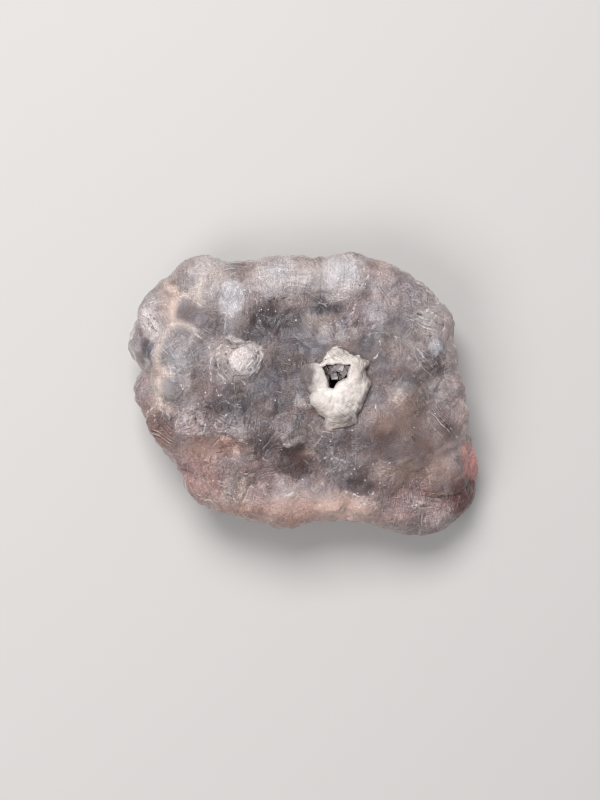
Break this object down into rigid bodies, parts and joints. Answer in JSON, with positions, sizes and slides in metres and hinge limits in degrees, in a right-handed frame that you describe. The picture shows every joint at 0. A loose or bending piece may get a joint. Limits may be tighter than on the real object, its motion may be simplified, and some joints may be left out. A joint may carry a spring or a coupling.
{
  "type": "bicolor fluorite specimen",
  "caption": "Lumpy plate of intergrown grey-blue and mauve fluorite crystals, with a white crust round a small crystal-lined hollow, resting on its broken flat back.",
  "frame": {"origin": "middle of the box's bottom, on the flat broken back", "axes": "+X along the plate's length, to the right in the picture; +Y up in the picture; +Z out of the crystal side, towards the viewer"},
  "size_m": [0.075, 0.06, 0.0241],
  "materials": {
    "fluorite_crystal": "frosted, part see-through crystal, grey-blue to mauve",
    "white_crust": "chalky white mineral crust",
    "smoky_crystal": "glassy dark crystal faces"
  },
  "bodies": {
    "root": {"fluorite": "fluorite_crystal", "white_crust": "white_crust", "hollow_crystals": "smoky_crystal"}
  },
  "joints": []
}
